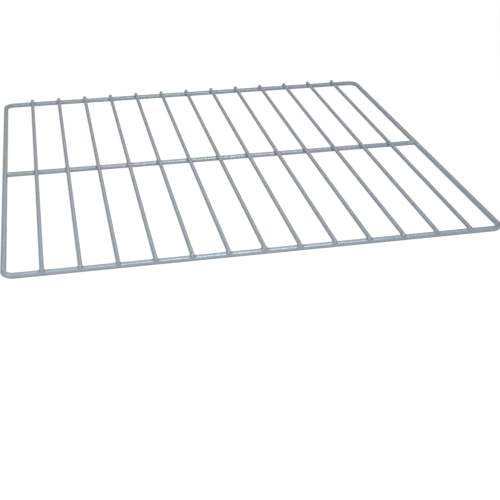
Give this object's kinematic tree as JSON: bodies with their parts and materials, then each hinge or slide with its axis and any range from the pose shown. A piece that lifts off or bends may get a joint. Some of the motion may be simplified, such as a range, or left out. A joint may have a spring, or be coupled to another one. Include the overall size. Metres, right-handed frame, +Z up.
{
  "type": "dishwasher rack hold-down grid",
  "caption": "Flat square grid of plastic-coated welded wire that lies on the load of a dishwasher rack and keeps light pieces from being lifted by the spray.",
  "frame": {"origin": "on the surface that the grid lies on, under the middle of the frame", "axes": "+X along the cross bar, +Y along the thin wires, +Z up through the grid"},
  "size_m": [0.45, 0.45, 0.0082],
  "materials": {
    "coating": "satin light grey dip coating, a little uneven, thicker at the welds"
  },
  "bodies": {
    "root": {"perimeter_frame": "coating", "cross_bar": "coating", "wire_01": "coating", "wire_02": "coating", "wire_03": "coating", "wire_04": "coating", "wire_05": "coating", "wire_06": "coating", "wire_07": "coating", "wire_08": "coating", "wire_09": "coating", "wire_10": "coating", "wire_11": "coating", "wire_12": "coating", "wire_13": "coating"}
  },
  "joints": []
}
